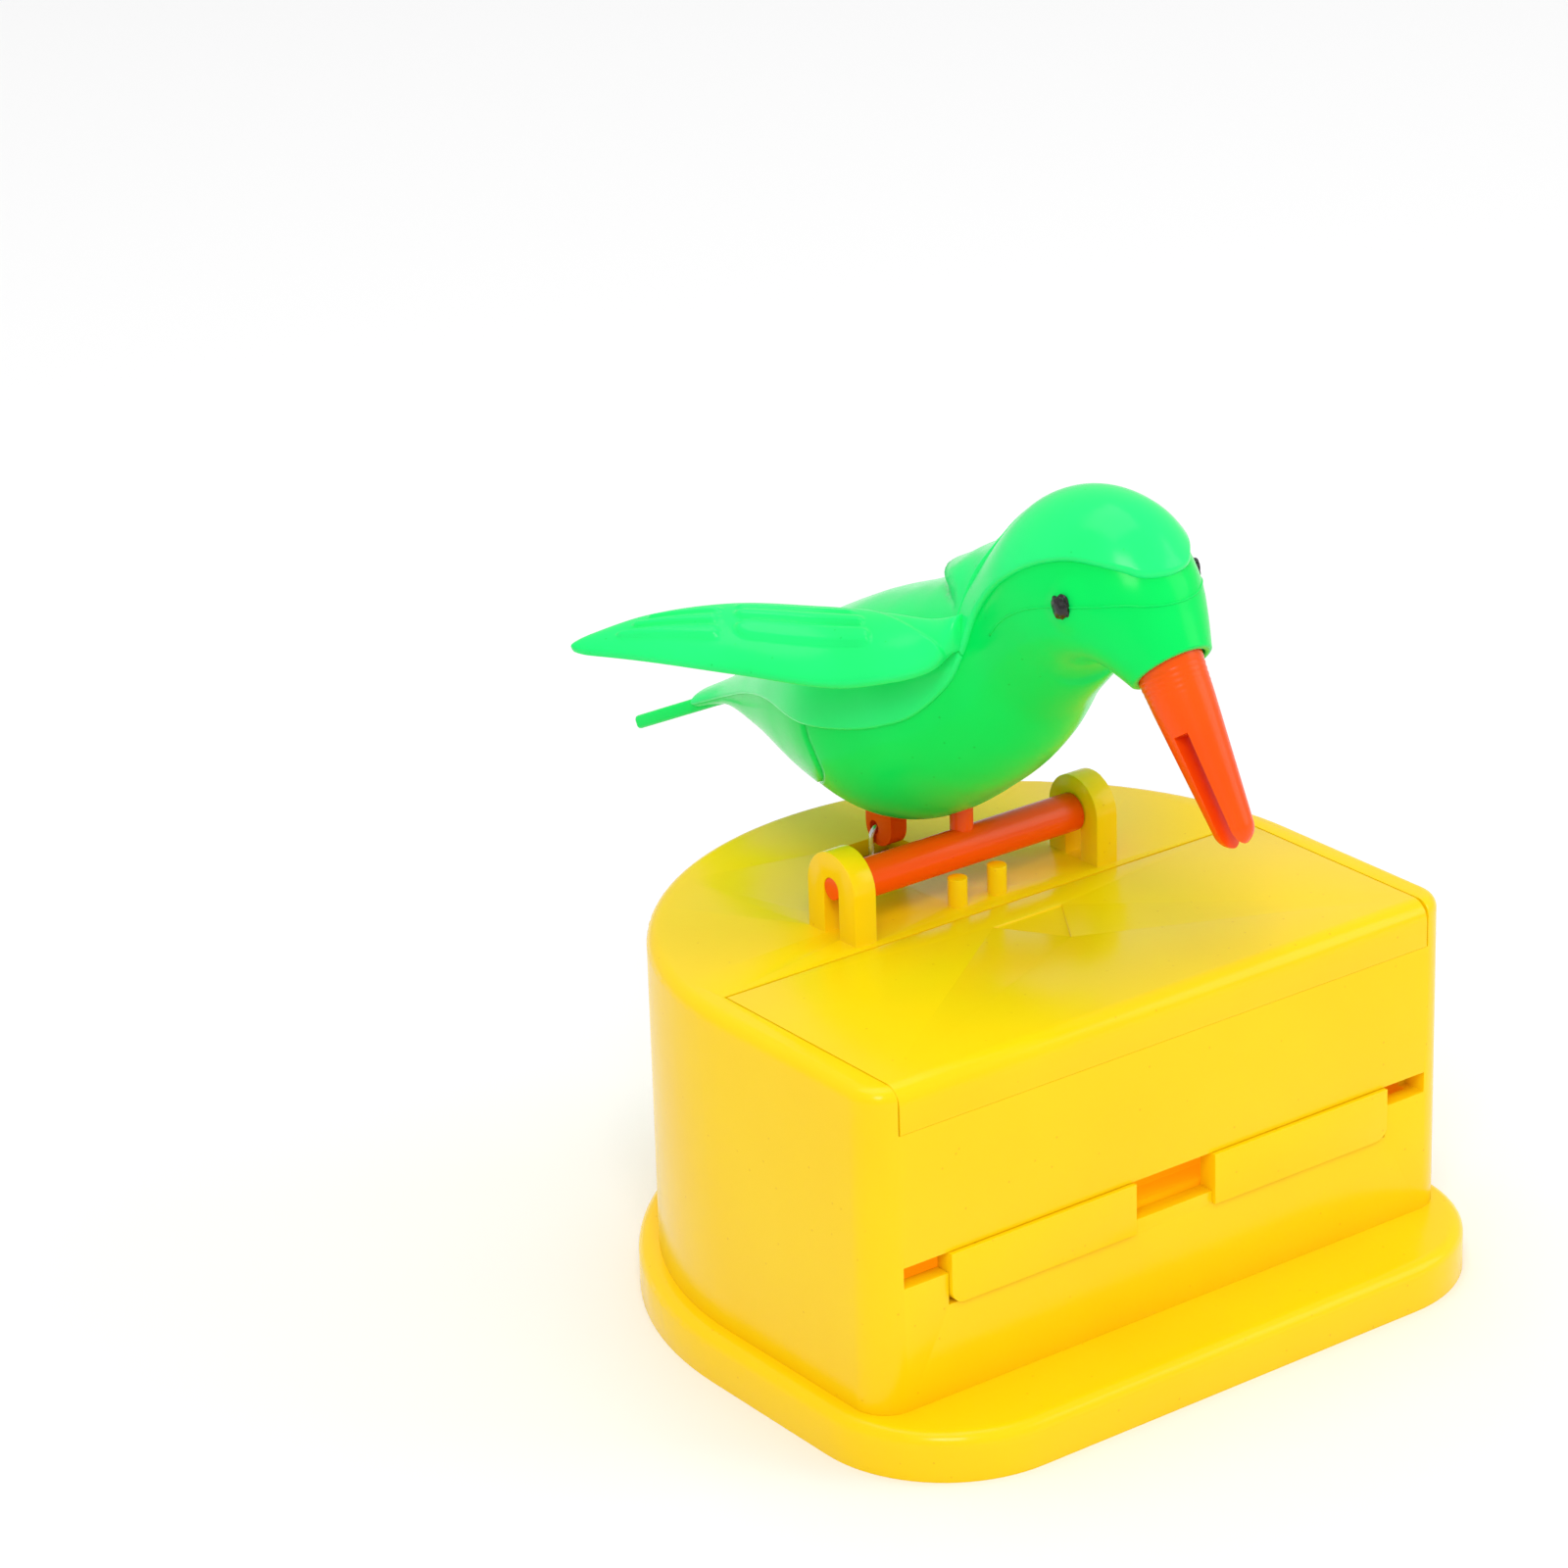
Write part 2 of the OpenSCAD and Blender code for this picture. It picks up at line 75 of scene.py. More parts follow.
joints = {j["name"]: j for j in frame["joints"]}
perch = Vector(joints["bird_tilt"]["pos_m"]) / MM
front_wall_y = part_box("box_shell")[0].y / MM
deck_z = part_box("lid")[1].z / MM
eye_lo, eye_hi = (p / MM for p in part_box("eye_right"))
eye_mid = (eye_lo + eye_hi) / 2
spring_lo, spring_hi = (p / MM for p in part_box("return_spring"))

# ---------- bird's form: the same cross sections as the frame ----------

# y, z, lean in degrees, height above, height below, half width
SECTIONS = np.array([
    (-29.3, 79.0, -45, 4.3, 4.3, 4.7),
    (-26.2, 81.2, -50, 6.1, 5.3, 6.4),
    (-22.7, 82.7, -35, 9.3, 7.1, 8.0),
    (-18.7, 82.9, -15, 12.1, 8.5, 9.0),
    (-13.9, 81.7, 12, 11.5, 9.0, 9.4),
    (-7.8, 76.5, 30, 9.1, 8.8, 9.5),
    (-1.6, 71.5, 34, 10.2, 10.7, 11.2),
    (5.3, 67.9, 28, 10.5, 12.9, 13.4),
    (14.3, 63.7, 20, 10.9, 14.1, 14.6),
    (24.1, 60.9, 20, 8.7, 11.2, 12.0),
    (34.3, 57.9, 20, 5.2, 5.1, 8.1),
    (44.2, 55.0, 20, 1.9, 1.4, 4.4),
    (50.6, 52.4, 20, 1.0, 0.9, 3.8),
])
LAST = len(SECTIONS) - 1

# Side view of the long seam: brow, cheek, neck, then under the wing to the tail.
SEAM = np.array([
    (-44, 89), (-33, 89), (-28.8, 89), (-26.5, 89.7), (-23.9, 90.1), (-21.1, 90), (-17.6, 88.9),
    (-14.3, 87.1), (-11.1, 84.5), (-8.6, 81.1), (-7.2, 76.8), (-5.2, 72.6), (-1.1, 68.4),
    (2.9, 66.3), (7.5, 64.8), (14.4, 63.5), (24.9, 62.4), (33.6, 59.7), (42.3, 56), (60, 48), (70, 43),
])

# Section number of the hood's rear edge at some angles round the neck, side to top, in degrees.
HOOD_END = np.array([(0, 5.1), (8, 5.1), (22, 5.07), (33, 4.98), (44, 4.72), (60, 4.3), (90, 4.05)])

# The same for the step behind the neck.
COLLAR_END = np.array([(0, 5.0), (30, 5.05), (45, 5.2), (60, 5.5), (75, 5.8), (90, 6.02)])

# Side view of the faint line that the two halves of the mould left on the face.
MOULD_LINE = np.array([(-36, 86), (-29.9, 86.5), (-27.6, 86.6), (-23.9, 85.9), (-20, 85.2),
                       (-15.9, 83.7), (-12.6, 81.4), (-10, 78)])
MOULD_END = 4.45

# Side view of the seam between belly and tail.
TAIL_SEAM = np.array([(14, 72), (14.4, 63.5), (13.6, 60.7), (13.4, 57.8), (15.5, 55.6), (20, 53.4),
                      (24, 51), (28, 44)])


def curve_at(rows, s):
    """Smooth curve through the rows, s in row numbers."""
    n = len(rows)
    i = min(n - 2, max(0, int(math.floor(s))))
    a, b, c, d = (rows[min(n - 1, max(0, k))] for k in (i - 1, i, i + 1, i + 2))
    t = s - i
    return 0.5 * (2 * b + (c - a) * t + (2 * a - 5 * b + 4 * c - d) * t * t
                  + (3 * b - a - 3 * c + d) * t * t * t)


def dense(rows, per=12):
    return np.array([curve_at(rows, k / per) for k in range((len(rows) - 1) * per + 1)])


SEAM_LINE = dense(SEAM)
TAIL_LINE = dense(TAIL_SEAM)


def line_distance(line, y, z):
    """Side view distance from a point to a line."""
    a, b = line[:-1], line[1:]
    ab = b - a
    p = np.array((y, z))
    t = np.clip(((p - a) * ab).sum(1) / (ab * ab).sum(1), 0, 1)
    return float(np.sqrt((((a + ab * t[:, None]) - p) ** 2).sum(1)).min())


def body_point(s, a, g=0.0):
    """Point of the body's skin: s along it, a round it, g outward."""
    y, z, lean, up, down, w = curve_at(SECTIONS, s)
    lean = math.radians(lean)
    sa = math.sin(a)
    h = ((up if sa > 0 else down) + g) * sa
    return Vector(((w + g) * math.cos(a), y + h * math.sin(lean), z + h * math.cos(lean)))


def ring_crossing(s, line):
    """Angle at which cross section s meets a side view line, or None above or below it."""
    y, z, lean, up, down, w = curve_at(SECTIONS, s)
    lean = math.radians(lean)
    d = np.array((math.sin(lean), math.cos(lean)))
    rel = line - np.array((y, z))
    side = d[0] * rel[:, 1] - d[1] * rel[:, 0]
    best = None
    for i in np.nonzero(side[:-1] * side[1:] <= 0)[0]:
        t = side[i] / (side[i] - side[i + 1] + 1e-12)
        h = float((rel[i] + (rel[i + 1] - rel[i]) * t) @ d)
        if best is None or abs(h) < abs(best):
            best = h
    if best is None or best >= up or best <= -down:
        return None
    return math.asin(best / (up if best > 0 else down))


# ---------- mesh helpers ----------

def new_object(name, verts, faces, smooth=True):
    mesh = bpy.data.meshes.new(name)
    mesh.from_pydata([tuple(Vector(v) * MM) for v in verts], [], faces)
    mesh.validate()
    mesh.update()
    obj = bpy.data.objects.new(name, mesh)
    bpy.context.scene.collection.objects.link(obj)
    if smooth:
        mesh.shade_smooth()
    return obj


def grid_faces(rows, cols, start=0, closed=False, flip=False):
    faces = []
    for i in range(rows - 1):
        for j in range(cols if closed else cols - 1):
            a = start + i * cols + j
            b = start + i * cols + (j + 1) % cols
            quad = (a, b, b + cols, a + cols)
            faces.append(quad[::-1] if flip else quad)
    return faces


def loft(rings):
    """Closed skin over rings with the same number of points."""
    n = len(rings[0])
    verts = [p for r in rings for p in r]
    faces = grid_faces(len(rings), n, closed=True)
    faces.append(tuple(range(n))[::-1])
    faces.append(tuple((len(rings) - 1) * n + k for k in range(n)))
    return verts, faces


def closed_piece(name, rings):
    """Closed object lofted over rings, with its normals outward."""
    verts, faces = loft(rings)
    obj = new_object(name, verts, faces)
    fix_normals(obj)
    return obj


def object_from(bm, name):
    """Turns a bmesh, already in metres, into an object."""
    mesh = bpy.data.meshes.new(name)
    bm.to_mesh(mesh)
    bm.free()
    obj = bpy.data.objects.new(name, mesh)
    bpy.context.scene.collection.objects.link(obj)
    return obj


def circle(r, z, sides):
    """Level ring of points round the Z axis."""
    turns = [2 * math.pi * k / sides for k in range(sides)]
    return [Vector((r * math.cos(a), r * math.sin(a), z)) for a in turns]


def round_edges(obj, width, segments, limit=30):
    """Rounds the edges that are sharper than the limit, in degrees."""
    bevel = obj.modifiers.new("round", "BEVEL")
    bevel.width = width * MM
    bevel.segments = segments
    bevel.limit_method = "ANGLE"
    bevel.angle_limit = math.radians(limit)
    apply_modifiers(obj)


def shade_with_creases(obj, angle):
    obj.data.shade_smooth()
    obj.data.set_sharp_from_angle(angle=math.radians(angle))


def fix_normals(obj):
    bm = bmesh.new()
    bm.from_mesh(obj.data)
    bmesh.ops.recalc_face_normals(bm, faces=bm.faces)
    bm.to_mesh(obj.data)
    bm.free()


def apply_modifiers(obj):
    """Turns the object's modifiers into plain mesh."""
    bpy.context.view_layer.update()
    deps = bpy.context.evaluated_depsgraph_get()
    mesh = bpy.data.meshes.new_from_object(obj.evaluated_get(deps))
    obj.modifiers.clear()
    obj.data = mesh


def finish_piece(obj, body, slot, material, *nodes):
    obj.data.materials.clear()
    obj.data.materials.append(material)
    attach(obj, body)
    if nodes:
        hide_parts(*nodes)
    return obj


def ease(u, p=1.8):
    """From 0 to 1, slow at both ends."""
    return u ** p / (u ** p + (1 - u) ** p)


def smooth01(x):
    x = min(1.0, max(0.0, x))
    return x * x * (3 - 2 * x)


# ---------- materials ----------

def node_tools(name):
    mat = bpy.data.materials.new(name)
    mat.use_nodes = True
    tree = mat.node_tree
    shader = next(n for n in tree.nodes if n.type == "BSDF_PRINCIPLED")

    def add(kind, **inputs):
        n = tree.nodes.new(kind)
        for key, value in inputs.items():
            n.inputs[key].default_value = value
        return n
    return mat, tree, shader, add


def moulded_colour(add, link, where, colour, shade):
    """Colour that drifts slowly between two shades, with a few dark specks."""
    drift = add("ShaderNodeTexNoise", Scale=38.0, Detail=3.0, Roughness=0.5)
    link(where, drift.inputs["Vector"])
    drift_ramp = add("ShaderNodeValToRGB")
    drift_ramp.color_ramp.elements[0].position = 0.35
    drift_ramp.color_ramp.elements[1].position = 0.68
    drift_ramp.color_ramp.elements[0].color = (*shade, 1)
    drift_ramp.color_ramp.elements[1].color = (*colour, 1)
    link(drift.outputs["Fac"], drift_ramp.inputs["Fac"])

    speck = add("ShaderNodeTexVoronoi", Scale=420.0)
    link(where, speck.inputs["Vector"])
    speck_ramp = add("ShaderNodeValToRGB")
    speck_ramp.color_ramp.elements[0].position = 0.035
    speck_ramp.color_ramp.elements[1].position = 0.075
    dark = tuple(c * 0.72 for c in shade)
    speck_ramp.color_ramp.elements[0].color = (*dark, 1)
    speck_ramp.color_ramp.elements[1].color = (1, 1, 1, 1)
    link(speck.outputs["Distance"], speck_ramp.inputs["Fac"])
    mix = add("ShaderNodeMix", Factor=0.35)
    mix.data_type = "RGBA"
    mix.blend_type = "MULTIPLY"
    colours = [s for s in mix.inputs if s.type == "RGBA"]
    link(drift_ramp.outputs["Color"], colours[0])
    link(speck_ramp.outputs["Color"], colours[1])
    return next(s for s in mix.outputs if s.type == "RGBA")


def moulded_gloss(add, link, where, rough):
    """Roughness that varies a little round the given value."""
    gloss = add("ShaderNodeTexNoise", Scale=90.0, Detail=4.0, Roughness=0.6)
    link(where, gloss.inputs["Vector"])
    gloss_map = add("ShaderNodeMapRange")
    gloss_map.inputs["To Min"].default_value = rough * 0.75
    gloss_map.inputs["To Max"].default_value = rough * 1.3
    link(gloss.outputs["Fac"], gloss_map.inputs["Value"])
    return gloss_map.outputs["Result"]


def moulded_surface(add, link, where, grain):
    """Faint ripples of shrinkage under a fine grain."""
    ripple = add("ShaderNodeTexNoise", Scale=120.0, Detail=1.0)
    link(where, ripple.inputs["Vector"])
    ripple_bump = add("ShaderNodeBump", Strength=0.25, Distance=0.00012)
    link(ripple.outputs["Fac"], ripple_bump.inputs["Height"])
    fine = add("ShaderNodeTexNoise", Scale=1500.0, Detail=3.0, Roughness=0.7)
    link(where, fine.inputs["Vector"])
    fine_bump = add("ShaderNodeBump", Strength=0.3, Distance=grain)
    link(fine.outputs["Fac"], fine_bump.inputs["Height"])
    link(ripple_bump.outputs["Normal"], fine_bump.inputs["Normal"])
    return fine_bump.outputs["Normal"]


def moulded_plastic(name, colour, shade, rough, specular, subsurface, grain=0.00003):
    """Glossy moulded plastic: slow drift of colour, uneven gloss, faint ripples and fine grain."""
    mat, tree, shader, add = node_tools(name)
    link = tree.links.new
    where = add("ShaderNodeTexCoord").outputs["Object"]
    link(moulded_colour(add, link, where, colour, shade), shader.inputs["Base Color"])
    link(moulded_gloss(add, link, where, rough), shader.inputs["Roughness"])
    link(moulded_surface(add, link, where, grain), shader.inputs["Normal"])
    shader.inputs["IOR"].default_value = 1.45
    shader.inputs["Specular IOR Level"].default_value = specular
    shader.inputs["Subsurface Weight"].default_value = subsurface
    shader.inputs["Subsurface Scale"].default_value = 0.002
    shader.inputs["Subsurface Radius"].default_value = (1.0, 0.8, 0.4)
    return mat


def spring_steel():
    mat, tree, shader, add = node_tools("steel")
    link = tree.links.new
    where = add("ShaderNodeTexCoord").outputs["Object"]
    draw = add("ShaderNodeTexNoise", Scale=900.0, Detail=4.0)
    link(where, draw.inputs["Vector"])
    ramp = add("ShaderNodeValToRGB")
    ramp.color_ramp.elements[0].color = (0.55, 0.56, 0.58, 1)
    ramp.color_ramp.elements[1].color = (0.9, 0.91, 0.92, 1)
    link(draw.outputs["Fac"], ramp.inputs["Fac"])
    link(ramp.outputs["Color"], shader.inputs["Base Color"])
    rough = add("ShaderNodeMapRange")
    rough.inputs["To Min"].default_value = 0.16
    rough.inputs["To Max"].default_value = 0.34
    link(draw.outputs["Fac"], rough.inputs["Value"])
    link(rough.outputs["Result"], shader.inputs["Roughness"])
    shader.inputs["Metallic"].default_value = 1.0
    return mat


def eye_paint():
    """Thick black paint that dried in lumps."""
    mat, tree, shader, add = node_tools("eye_black")
    link = tree.links.new
    where = add("ShaderNodeTexCoord").outputs["Object"]
    lumps = add("ShaderNodeTexNoise", Scale=1400.0, Detail=3.0)
    link(where, lumps.inputs["Vector"])
    ramp = add("ShaderNodeValToRGB")
    ramp.color_ramp.elements[0].color = (0.002, 0.002, 0.002, 1)
    ramp.color_ramp.elements[1].color = (0.012, 0.011, 0.012, 1)
    link(lumps.outputs["Fac"], ramp.inputs["Fac"])
    link(ramp.outputs["Color"], shader.inputs["Base Color"])
    bump = add("ShaderNodeBump", Strength=0.6, Distance=0.0001)
    link(lumps.outputs["Fac"], bump.inputs["Height"])
    link(bump.outputs["Normal"], shader.inputs["Normal"])
    rough = add("ShaderNodeMapRange")
    rough.inputs["To Min"].default_value = 0.12
    rough.inputs["To Max"].default_value = 0.35
    link(lumps.outputs["Fac"], rough.inputs["Value"])
    link(rough.outputs["Result"], shader.inputs["Roughness"])
    return mat


BOX_YELLOW = moulded_plastic("box_yellow", (0.99, 0.665, 0.003), (0.98, 0.63, 0.002), 0.2,
                             subsurface=0.08, specular=0.24)
# Same yellow as the box; the tray's copy also gets a painted glow below.
TRAY_YELLOW = moulded_plastic("tray_yellow", (0.99, 0.665, 0.003), (0.98, 0.63, 0.002), 0.2,
                              subsurface=0.08, specular=0.24)
ORANGE = moulded_plastic("orange", (0.97, 0.105, 0.001), (0.94, 0.08, 0.001), 0.24,
                         grain=0.00005, subsurface=0.06, specular=0.24)
BIRD_GREEN = moulded_plastic("bird_green", (0.002, 0.84, 0.13), (0.001, 0.76, 0.10), 0.2,
                             subsurface=0.1, specular=0.13)
HOOD_GREEN = moulded_plastic("hood_green", (0.02, 0.93, 0.22), (0.012, 0.86, 0.18), 0.2,
                             subsurface=0.1, specular=0.22)
STEEL = spring_steel()
EYE_BLACK = eye_paint()


def painted_glow_behind_wall(mat):
    """Painted glow: emission on the tray behind the thin front wall, standing in for light that comes
    through the wall onto it.
    """
    tree = mat.node_tree
    shader = next(n for n in tree.nodes if n.type == "BSDF_PRINCIPLED")
    where = tree.nodes.new("ShaderNodeTexCoord")
    parts = tree.nodes.new("ShaderNodeSeparateXYZ")
    tree.links.new(where.outputs["Object"], parts.inputs["Vector"])
    ramp = tree.nodes.new("ShaderNodeMapRange")
    ramp.interpolation_type = "SMOOTHSTEP"
    wall_back = (front_wall_y + 2) * MM
    ramp.inputs["From Min"].default_value = wall_back
    ramp.inputs["From Max"].default_value = wall_back + 1.5 * MM
    ramp.inputs["To Max"].default_value = 0.5
    tree.links.new(parts.outputs["Y"], ramp.inputs["Value"])
    tree.links.new(ramp.outputs["Result"], shader.inputs["Emission Strength"])
    # Colour of the painted glow.
    shader.inputs["Emission Color"].default_value = (1.0, 0.36, 0.002, 1)


# Painted glow on the tray behind the front wall, standing in for light through the wall.
painted_glow_behind_wall(TRAY_YELLOW)

# ---------- bird: lower shell ----------

def skin_detail(p):
    """How far the skin stands proud at a point, in a low mound round each eye."""
    if abs(p.x) <= 4:
        return 0.0
    off = math.hypot(p.y - eye_mid.y + 0.3, (p.z - eye_mid.z) * 0.9)
    return 0.55 * smooth01((3.1 - off) / 2.2)


def first_crossing(line, lo, hi):
    """Section number, between lo and hi, at which a side view line comes onto the body."""
    for _ in range(40):
        mid = (lo + hi) / 2
        if ring_crossing(mid, line) is None:
            lo = mid
        else:
            hi = mid
    return hi


def body_shell():
    """Face, breast and belly as one skin, with a rolled rim round the beak."""
    sides = 120
    rings = []
    lip = [(0.9, -1.1), (0.25, -0.95), (0.03, -0.8), (0.0, -0.62), (0.0, -0.3), (0.02, -0.08)]
    for s, g in lip:
        rings.append([body_point(s, 2 * math.pi * k / sides, g) for k in range(sides)])
    end = belly_end()
    rows = 190
    for i in range(rows + 1):
        u = i / rows
        ring = []
        for k in range(sides):
            a = 2 * math.pi * k / sides
            s = 0.06 + (end(a) - 0.06) * u
            ring.append(body_point(s, a, skin_detail(body_point(s, a))))
        rings.append(ring)
    obj = closed_piece("bird_body", rings)
    return finish_piece(obj, "bird", "bird_green", BIRD_GREEN, "bird_shell")


def mould_line():
    """Faint raised line that runs round the forehead and through the eyes."""
    line = dense(MOULD_LINE)
    start = first_crossing(line, 0.0, 2.4)
    right = []
    n = 90
    for i in range(n + 1):
        s = start + (MOULD_END - start) * (i / n) ** 1.6
        a = ring_crossing(s, line)
        if a is None:
            a = math.pi / 2
        p = body_point(s, a)
        right.append(body_point(s, a, skin_detail(p) - 0.02))
    left = [Vector((-p.x, p.y, p.z)) for p in right[:0:-1]]
    obj = tube("mould_line", left + right, 0.13, sides=8)
    return finish_piece(obj, "bird", "bird_green", BIRD_GREEN, "bird_shell")


def belly_end():
    """Function that gives the section number at which the belly ends, for an angle round the body."""
    degrees = range(0, 361, 3)
    table = []
    for k in degrees:
        a = math.radians(k)
        lo, hi = 7.4, 10.6
        for _ in range(30):
            mid = (lo + hi) / 2
            p = body_point(mid, a)
            seam_y = np.interp(p.z, TAIL_LINE[::-1, 1], TAIL_LINE[::-1, 0])
            if p.y < seam_y:
                lo = mid
            else:
                hi = mid
        table.append(lo)
    return lambda a: float(np.interp(math.degrees(a) % 360, degrees, table))


# ---------- bird: hood and back ----------

def hood_end(e):
    """Section number of the hood's rear edge at share e of the way over the body."""
    return float(np.interp(6 + 168 * min(e, 1 - e), HOOD_END[:, 0], HOOD_END[:, 1]))


def seam_angles():
    """Table of the angle of the long seam for each section number."""
    numbers = np.linspace(0.5, LAST, 900)
    angles = [ring_crossing(s, SEAM_LINE) for s in numbers]
    return numbers, np.array([math.pi / 2 - 0.002 if a is None else a for a in angles])


def collar(s, a):
    """Extra height of the neck behind the hood, which ends in a step over the wings' root."""
    up = math.degrees(min(a, math.pi - a))
    lateral = smooth01((up - 30) / 35)
    rise = 0.25 + 1.5 * smooth01((s - 4.4) / 0.9)
    step = float(np.interp(up, COLLAR_END[:, 0], COLLAR_END[:, 1])) - s
    x = min(1.0, max(0.0, step * 7.2 / 0.5))
    return lateral * rise * math.sqrt(1 - (1 - x) ** 2)


def cap_piece(name, s_from, s_to, rows, cols, height, material, slot, *nodes):
    """A layer that stands proud of the body above the long seam, with a rounded rim.

    s_from and s_to give the section number at share e of the way over the body."""
    roll = 0.4
    numbers, angles = seam_angles()
    top, under = [], []
    for i in range(rows + 1):
        for j in range(cols + 1):
            e = ease(j / cols, 1.7)
            start, stop = s_from(e), s_to(e)
            s = start + (stop - start) * ease(i / rows)
            a0 = float(np.interp(s, numbers, angles))
            a = a0 + (math.pi - 2 * a0) * e
            p = body_point(s, a)
            d = line_distance(SEAM_LINE, p.y, p.z)
            if stop < LAST:
                d = min(d, (stop - s) * 7.2)
            if start > 3:
                d = min(d, (s - start) * 7.2)
            x = min(1.0, max(0.0, d / roll))
            g = 0.02 + (height - 0.02) * math.sqrt(max(0.0, 1 - (1 - x) ** 2))
            if start > 3:
                g += collar(s, a) * x
            top.append(body_point(s, a, g))
            under.append(body_point(s, a, -0.04))
    n = cols + 1
    m = rows + 1
    verts = top + under
    faces = grid_faces(m, n) + grid_faces(m, n, start=m * n, flip=True)
    off = m * n
    for i in range(rows):
        a, b = i * n, (i + 1) * n
        faces.append((a, b, b + off, a + off))
        a, b = i * n + cols, (i + 1) * n + cols
        faces.append((b, a, a + off, b + off))
    for j in range(cols):
        a, b = j, j + 1
        faces.append((b, a, a + off, b + off))
        a, b = rows * n + j, rows * n + j + 1
        faces.append((a, b, b + off, a + off))
    obj = new_object(name, verts, faces)
    fix_normals(obj)
    return finish_piece(obj, "bird", slot, material, *nodes)


# ---------- bird: wings ----------

WING_ROWS = np.array([
    (8.4, -7, 76.8, 7.2, -5.4, 80.4, 1.8),
    (10.8, -6.6, 76.7, 9.6, -5.9, 80.5, 1.6),
    (13.4, -6.1, 75.3, 9.9, -2, 79, 1.6),
    (16.5, -3.4, 74.1, 11.2, 3.9, 78.3, 1.6),
    (19.8, 2.9, 72.5, 13.8, 12.2, 77.2, 1.6),
    (25.3, 12.2, 72.7, 19.8, 19.7, 76.9, 1.5),
    (30.3, 22.1, 72.6, 26.6, 26.3, 75.3, 1.2),
    (34, 29.9, 72.1, 33.3, 31.1, 72.5, 0.6),
])
WING_RUN = Vector((23, 36, -6)).normalized()

# Raised feather lobes: start and end along the wing, place and half width across it.
LOBES = [
    (0.494, 0.705, 0.74, 0.09), (0.473, 0.705, 0.44, 0.15), (0.46, 0.705, -0.02, 0.24),
    (0.726, 0.846, 0.62, 0.11), (0.726, 0.871, 0.27, 0.16), (0.726, 0.897, -0.15, 0.20),
]


def lobe_height(u, v, length, chord):
    """How far the feather lobes raise the wing's top, in mm."""
    best = 0.0
    for start, end, mid, half in LOBES:
        lx, ly = (end - start) * length / 2, half * chord
        dx = abs(u - (start + end) / 2) * length - lx
        dy = abs(v - mid) * chord - ly
        r = ly
        qx, qy = dx + r, dy + r
        d = math.hypot(max(qx, 0), max(qy, 0)) + min(max(qx, qy), 0) - r
        best = max(best, smooth01((0.12 - d) / 0.5))
    return 0.55 * best * (1 - 0.65 * smooth01((v - 0.5) / 0.4))


def blade_raise(u, v):
    """The blade stands proud of the wing's root, behind a curved edge."""
    edge = 0.17 + 0.29 * ((v + 1) / 2) ** 1.6
    return 0.45 * smooth01((u - edge) / 0.018)


def wing(name, side):
    rows, cols = 200, 44
    rings = []
    length = 48.0
    for i in range(rows + 1):
        u = i / rows
        q = curve_at(WING_ROWS, u * (len(WING_ROWS) - 1))
        tip = math.sqrt(1.001 - max(0.0, (u - 0.95) / 0.05) ** 2)
        outer, inner, thick = Vector(q[:3]), Vector(q[3:6]), q[6] * tip
        mid, half = (outer + inner) / 2, (outer - inner) / 2 * tip
        up = half.cross(WING_RUN).normalized()
        chord = half.length
        ring = []
        for k in range(2 * cols):
            a = math.pi * k / cols
            c = math.cos(a)
            body = thick / 2 * abs(math.sin(a)) ** 0.6
            bow = 0.9 * chord / 6 * (1 - c * c)
            if k <= cols:
                body += lobe_height(u, -c, length, chord) + blade_raise(u, -c) * abs(math.sin(a)) ** 0.4
            else:
                body = -body
            p = mid + half * c + up * (body + bow)
            ring.append(Vector((p.x * side, p.y, p.z)))
        rings.append(ring)
    obj = closed_piece(name, rings)
    return finish_piece(obj, "bird", "hood_green", HOOD_GREEN, "back_wings")


# ---------- bird: tail ----------

def tail():
    end = belly_end()
    sides, rows = 96, 70
    rings = []
    for i in range(rows + 1):
        u = i / rows
        ring = []
        for k in range(sides):
            a = 2 * math.pi * k / sides
            s0 = end(a) + 0.015
            s = s0 + (LAST - s0) * u
            d = min(1.0, (s - s0) * 9 / 0.3)
            g = -0.25 + 0.35 * math.sqrt(max(0.0, 1 - (1 - d) ** 2))
            ring.append(body_point(s, a, g))
        rings.append(ring)
    obj = closed_piece("bird_tail", rings)
    return finish_piece(obj, "bird", "bird_green", BIRD_GREEN, "tail")


def tail_fork():
    """Thin flat blade with a notched end."""
    outline = [(-2, -5), (2, -5), (3.2, 2), (4.0, 11), (4.6, 17.4), (2.7, 18.2), (1.4, 15.2),
               (0, 12.2), (-1.4, 15.2), (-2.7, 18.2), (-4.6, 17.4), (-4.0, 11), (-3.2, 2)]
    half_t = 0.8
    tilt = Matrix.Rotation(math.radians(-25.7), 4, "X")
    root = Vector((0, 46, 54.4))
    bm = bmesh.new()
    low = [bm.verts.new(Vector((x, y, -half_t))) for x, y in outline]
    face = bm.faces.new(low)
    made = bmesh.ops.extrude_face_region(bm, geom=[face])
    for v in made["geom"]:
        if isinstance(v, bmesh.types.BMVert):
            v.co.z += 2 * half_t
    bmesh.ops.recalc_face_normals(bm, faces=bm.faces)
    for v in bm.verts:
        v.co = (tilt @ v.co + root) * MM
    obj = object_from(bm, "tail_fork")
    round_edges(obj, 0.5, 4)
    shade_with_creases(obj, 40)
    return finish_piece(obj, "bird", "bird_green", BIRD_GREEN, "tail")


# ---------- bird: beak and eyes ----------

BEAK_ROOT = Vector((0, -29, 78.8))
BEAK_LEAN = 34
BEAK_LEN = 17.4
SLIT_TURN = 22


